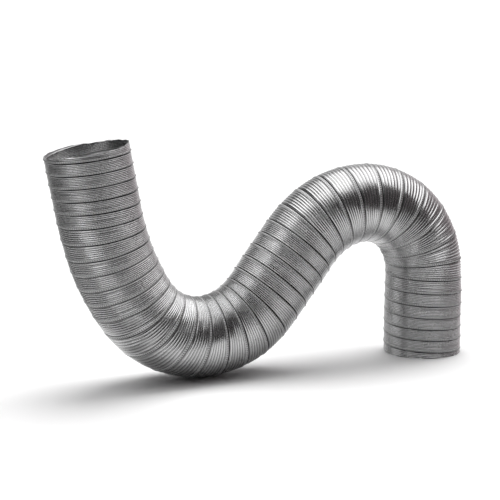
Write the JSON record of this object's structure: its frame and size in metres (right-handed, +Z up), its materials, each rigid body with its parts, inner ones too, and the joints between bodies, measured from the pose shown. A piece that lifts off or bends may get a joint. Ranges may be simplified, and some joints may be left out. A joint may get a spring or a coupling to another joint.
{
  "type": "flexible air duct",
  "caption": "Corrugated aluminium foil duct wound from one seamed strip, set in a free-standing S shape with both ends open for round spigots.",
  "frame": {"origin": "bottom centre of the box around the duct as it stands, on the floor", "axes": "+X from the free mouth to the standing leg, +Y across the duct away from the viewer, +Z up"},
  "size_m": [0.5884, 0.104, 0.3088],
  "materials": {
    "foil": "bright rolled foil, finely ribbed"
  },
  "bodies": {
    "free_end_turns": {"free_end_turns": "foil"},
    "strip_turn_03": {"strip_turn_03": "foil"},
    "strip_turn_04": {"strip_turn_04": "foil"},
    "strip_turn_05": {"strip_turn_05": "foil"},
    "strip_turn_06": {"strip_turn_06": "foil"},
    "strip_turn_07": {"strip_turn_07": "foil"},
    "strip_turn_08": {"strip_turn_08": "foil"},
    "strip_turn_09": {"strip_turn_09": "foil"},
    "strip_turn_10": {"strip_turn_10": "foil"},
    "strip_turn_11": {"strip_turn_11": "foil"},
    "strip_turn_12": {"strip_turn_12": "foil"},
    "strip_turn_13": {"strip_turn_13": "foil"},
    "strip_turn_14": {"strip_turn_14": "foil"},
    "strip_turn_15": {"strip_turn_15": "foil"},
    "strip_turn_16": {"strip_turn_16": "foil"},
    "strip_turn_17": {"strip_turn_17": "foil"},
    "strip_turn_18": {"strip_turn_18": "foil"},
    "strip_turn_19": {"strip_turn_19": "foil"},
    "strip_turn_20": {"strip_turn_20": "foil"},
    "strip_turn_21": {"strip_turn_21": "foil"},
    "strip_turn_22": {"strip_turn_22": "foil"},
    "strip_turn_23": {"strip_turn_23": "foil"},
    "strip_turn_24": {"strip_turn_24": "foil"},
    "strip_turn_25": {"strip_turn_25": "foil"},
    "strip_turn_26": {"strip_turn_26": "foil"},
    "strip_turn_27": {"strip_turn_27": "foil"},
    "strip_turn_28": {"strip_turn_28": "foil"},
    "strip_turn_29": {"strip_turn_29": "foil"},
    "strip_turn_30": {"strip_turn_30": "foil"},
    "strip_turn_31": {"strip_turn_31": "foil"},
    "strip_turn_32": {"strip_turn_32": "foil"},
    "strip_turn_33": {"strip_turn_33": "foil"},
    "strip_turn_34": {"strip_turn_34": "foil"},
    "strip_turn_35": {"strip_turn_35": "foil"},
    "strip_turn_36": {"strip_turn_36": "foil"},
    "strip_turn_37": {"strip_turn_37": "foil"},
    "strip_turn_38": {"strip_turn_38": "foil"},
    "strip_turn_39": {"strip_turn_39": "foil"},
    "strip_turn_40": {"strip_turn_40": "foil"},
    "standing_end_turns": {"standing_end_turns": "foil"}
  },
  "joints": [
    {"name": "lower_bend_free_side", "type": "hinge", "parent": "strip_turn_16", "child": "strip_turn_15", "pos_m": [-0.11733, 0, 0.05519], "axis": [0, 1, 0], "range_deg": [-12, 2]},
    {"name": "lower_bend_free_side_2", "type": "hinge", "parent": "strip_turn_15", "child": "strip_turn_14", "pos_m": [-0.14425, 0, 0.06574], "axis": [0, 1, 0], "range_deg": [-12, 2]},
    {"name": "lower_bend_free_side_3", "type": "hinge", "parent": "strip_turn_14", "child": "strip_turn_13", "pos_m": [-0.16685, 0, 0.08248], "axis": [0, 1, 0], "range_deg": [-12, 2]},
    {"name": "lower_bend_free_side_4", "type": "hinge", "parent": "strip_turn_13", "child": "strip_turn_12", "pos_m": [-0.18215, 0, 0.10091], "axis": [0, 1, 0], "range_deg": [-12, 2]},
    {"name": "free_leg_bend", "type": "hinge", "parent": "strip_turn_12", "child": "strip_turn_11", "pos_m": [-0.19259, 0, 0.11831], "axis": [0, 1, 0], "range_deg": [-5, 5]},
    {"name": "free_leg_stretch", "type": "slide", "parent": "strip_turn_11", "child": "strip_turn_10", "axis": [-0.4345, 0, 0.9007], "range_m": [-0.003, 0.009]},
    {"name": "free_leg_sway", "type": "hinge", "parent": "strip_turn_10", "child": "strip_turn_09", "pos_m": [-0.20884, 0, 0.15186], "axis": [0.9235, 0, 0.3837], "range_deg": [-6, 6]},
    {"name": "free_leg_bend_2", "type": "hinge", "parent": "strip_turn_09", "child": "strip_turn_08", "pos_m": [-0.21532, 0, 0.16876], "axis": [0, 1, 0], "range_deg": [-5, 5]},
    {"name": "free_leg_stretch_2", "type": "slide", "parent": "strip_turn_08", "child": "strip_turn_07", "axis": [-0.2786, 0, 0.9604], "range_m": [-0.003, 0.009]},
    {"name": "free_leg_sway_2", "type": "hinge", "parent": "strip_turn_07", "child": "strip_turn_06", "pos_m": [-0.2254, 0, 0.20351], "axis": [0.9744, 0, 0.2247], "range_deg": [-6, 6]},
    {"name": "free_leg_bend_3", "type": "hinge", "parent": "strip_turn_06", "child": "strip_turn_05", "pos_m": [-0.22899, 0, 0.22125], "axis": [0, 1, 0], "range_deg": [-5, 5]},
    {"name": "free_leg_stretch_3", "type": "slide", "parent": "strip_turn_05", "child": "strip_turn_04", "axis": [-0.1822, 0, 0.9833], "range_m": [-0.003, 0.009]},
    {"name": "free_leg_sway_3", "type": "hinge", "parent": "strip_turn_04", "child": "strip_turn_03", "pos_m": [-0.23479, 0, 0.25251], "axis": [0.9833, 0, 0.1822], "range_deg": [-6, 6]},
    {"name": "free_leg_bend_4", "type": "hinge", "parent": "strip_turn_03", "child": "free_end_turns", "pos_m": [-0.23769, 0, 0.26815], "axis": [0, 1, 0], "range_deg": [-5, 5]},
    {"name": "lower_bend_rise_side", "type": "hinge", "parent": "strip_turn_16", "child": "strip_turn_17", "pos_m": [-0.09178, 0, 0.05209], "axis": [0, -1, 0], "range_deg": [-12, 2]},
    {"name": "lower_bend_rise_side_2", "type": "hinge", "parent": "strip_turn_17", "child": "strip_turn_18", "pos_m": [-0.06728, 0, 0.05485], "axis": [0, -1, 0], "range_deg": [-12, 2]},
    {"name": "lower_bend_rise_side_3", "type": "hinge", "parent": "strip_turn_18", "child": "strip_turn_19", "pos_m": [-0.04378, 0, 0.0632], "axis": [0, -1, 0], "range_deg": [-12, 2]},
    {"name": "lower_bend_rise_side_4", "type": "hinge", "parent": "strip_turn_19", "child": "strip_turn_20", "pos_m": [-0.02413, 0, 0.07563], "axis": [0, -1, 0], "range_deg": [-12, 2]},
    {"name": "lower_bend_rise_side_5", "type": "hinge", "parent": "strip_turn_20", "child": "strip_turn_21", "pos_m": [-0.00777, 0, 0.09173], "axis": [0, -1, 0], "range_deg": [-12, 2]},
    {"name": "rise_sway", "type": "hinge", "parent": "strip_turn_21", "child": "strip_turn_22", "pos_m": [0.005, 0, 0.10803], "axis": [0.788, 0, -0.6157], "range_deg": [-6, 6]},
    {"name": "rise_stretch", "type": "slide", "parent": "strip_turn_22", "child": "strip_turn_23", "axis": [0.6157, 0, 0.788], "range_m": [-0.004, 0.008]},
    {"name": "rise_stretch_2", "type": "slide", "parent": "strip_turn_23", "child": "strip_turn_24", "axis": [0.6157, 0, 0.788], "range_m": [-0.004, 0.008]},
    {"name": "rise_sway_2", "type": "hinge", "parent": "strip_turn_24", "child": "strip_turn_25", "pos_m": [0.03886, 0, 0.15137], "axis": [0.788, 0, -0.6157], "range_deg": [-6, 6]},
    {"name": "crown_bend", "type": "hinge", "parent": "strip_turn_25", "child": "strip_turn_26", "pos_m": [0.05058, 0, 0.16632], "axis": [0, 1, 0], "range_deg": [-10, 1]},
    {"name": "crown_bend_2", "type": "hinge", "parent": "strip_turn_26", "child": "strip_turn_27", "pos_m": [0.06436, 0, 0.18079], "axis": [0, 1, 0], "range_deg": [-10, 1]},
    {"name": "crown_bend_3", "type": "hinge", "parent": "strip_turn_27", "child": "strip_turn_28", "pos_m": [0.08169, 0, 0.19381], "axis": [0, 1, 0], "range_deg": [-10, 1]},
    {"name": "crown_bend_4", "type": "hinge", "parent": "strip_turn_28", "child": "strip_turn_29", "pos_m": [0.10311, 0, 0.20454], "axis": [0, 1, 0], "range_deg": [-10, 1]},
    {"name": "shoulder_bend", "type": "hinge", "parent": "strip_turn_29", "child": "strip_turn_30", "pos_m": [0.12815, 0, 0.21136], "axis": [0, 1, 0], "range_deg": [-13, 1]},
    {"name": "shoulder_bend_2", "type": "hinge", "parent": "strip_turn_30", "child": "strip_turn_31", "pos_m": [0.15566, 0, 0.21185], "axis": [0, 1, 0], "range_deg": [-13, 1]},
    {"name": "shoulder_bend_3", "type": "hinge", "parent": "strip_turn_31", "child": "strip_turn_32", "pos_m": [0.18241, 0, 0.20464], "axis": [0, 1, 0], "range_deg": [-13, 1]},
    {"name": "shoulder_bend_4", "type": "hinge", "parent": "strip_turn_32", "child": "strip_turn_33", "pos_m": [0.20664, 0, 0.18982], "axis": [0, 1, 0], "range_deg": [-13, 1]},
    {"name": "shoulder_bend_5", "type": "hinge", "parent": "strip_turn_33", "child": "strip_turn_34", "pos_m": [0.22625, 0, 0.16779], "axis": [0, 1, 0], "range_deg": [-13, 1]},
    {"name": "shoulder_bend_6", "type": "hinge", "parent": "strip_turn_34", "child": "strip_turn_35", "pos_m": [0.23804, 0, 0.14239], "axis": [0, 1, 0], "range_deg": [-13, 1]},
    {"name": "shoulder_bend_7", "type": "hinge", "parent": "strip_turn_35", "child": "strip_turn_36", "pos_m": [0.24214, 0, 0.1178], "axis": [0, 1, 0], "range_deg": [-13, 1]},
    {"name": "standing_leg_bend", "type": "hinge", "parent": "strip_turn_36", "child": "strip_turn_37", "pos_m": [0.24222, 0, 0.0972], "axis": [0, 1, 0], "range_deg": [-6, 6]},
    {"name": "standing_leg_sway", "type": "hinge", "parent": "strip_turn_37", "child": "strip_turn_38", "pos_m": [0.24222, 0, 0.0801], "axis": [-1, 0, 0], "range_deg": [-6, 6]},
    {"name": "standing_leg_stretch", "type": "slide", "parent": "strip_turn_38", "child": "strip_turn_39", "axis": [0, 0, -1], "range_m": [-0.003, 0.009]},
    {"name": "standing_leg_bend_2", "type": "hinge", "parent": "strip_turn_39", "child": "strip_turn_40", "pos_m": [0.24222, 0, 0.0478], "axis": [0, 1, 0], "range_deg": [-6, 6]},
    {"name": "standing_leg_sway_2", "type": "hinge", "parent": "strip_turn_40", "child": "standing_end_turns", "pos_m": [0.24222, 0, 0.0324], "axis": [-1, 0, 0], "range_deg": [-6, 6]}
  ],
  "couplings": [
    {"joint": "lower_bend_free_side_2", "follows": "lower_bend_free_side", "ratio": 1},
    {"joint": "lower_bend_free_side_3", "follows": "lower_bend_free_side", "ratio": 1},
    {"joint": "lower_bend_free_side_4", "follows": "lower_bend_free_side", "ratio": 1},
    {"joint": "free_leg_bend_2", "follows": "free_leg_bend", "ratio": 1},
    {"joint": "free_leg_stretch_2", "follows": "free_leg_stretch", "ratio": 1},
    {"joint": "free_leg_sway_2", "follows": "free_leg_sway", "ratio": 1},
    {"joint": "free_leg_bend_3", "follows": "free_leg_bend", "ratio": 1},
    {"joint": "free_leg_stretch_3", "follows": "free_leg_stretch", "ratio": 1},
    {"joint": "free_leg_sway_3", "follows": "free_leg_sway", "ratio": 1},
    {"joint": "free_leg_bend_4", "follows": "free_leg_bend", "ratio": 1},
    {"joint": "lower_bend_rise_side_2", "follows": "lower_bend_rise_side", "ratio": 1},
    {"joint": "lower_bend_rise_side_3", "follows": "lower_bend_rise_side", "ratio": 1},
    {"joint": "lower_bend_rise_side_4", "follows": "lower_bend_rise_side", "ratio": 1},
    {"joint": "lower_bend_rise_side_5", "follows": "lower_bend_rise_side", "ratio": 1},
    {"joint": "rise_stretch_2", "follows": "rise_stretch", "ratio": 1},
    {"joint": "rise_sway_2", "follows": "rise_sway", "ratio": 1},
    {"joint": "crown_bend_2", "follows": "crown_bend", "ratio": 1},
    {"joint": "crown_bend_3", "follows": "crown_bend", "ratio": 1},
    {"joint": "crown_bend_4", "follows": "crown_bend", "ratio": 1},
    {"joint": "shoulder_bend_2", "follows": "shoulder_bend", "ratio": 1},
    {"joint": "shoulder_bend_3", "follows": "shoulder_bend", "ratio": 1},
    {"joint": "shoulder_bend_4", "follows": "shoulder_bend", "ratio": 1},
    {"joint": "shoulder_bend_5", "follows": "shoulder_bend", "ratio": 1},
    {"joint": "shoulder_bend_6", "follows": "shoulder_bend", "ratio": 1},
    {"joint": "shoulder_bend_7", "follows": "shoulder_bend", "ratio": 1},
    {"joint": "standing_leg_bend_2", "follows": "standing_leg_bend", "ratio": 1},
    {"joint": "standing_leg_sway_2", "follows": "standing_leg_sway", "ratio": 1}
  ]
}
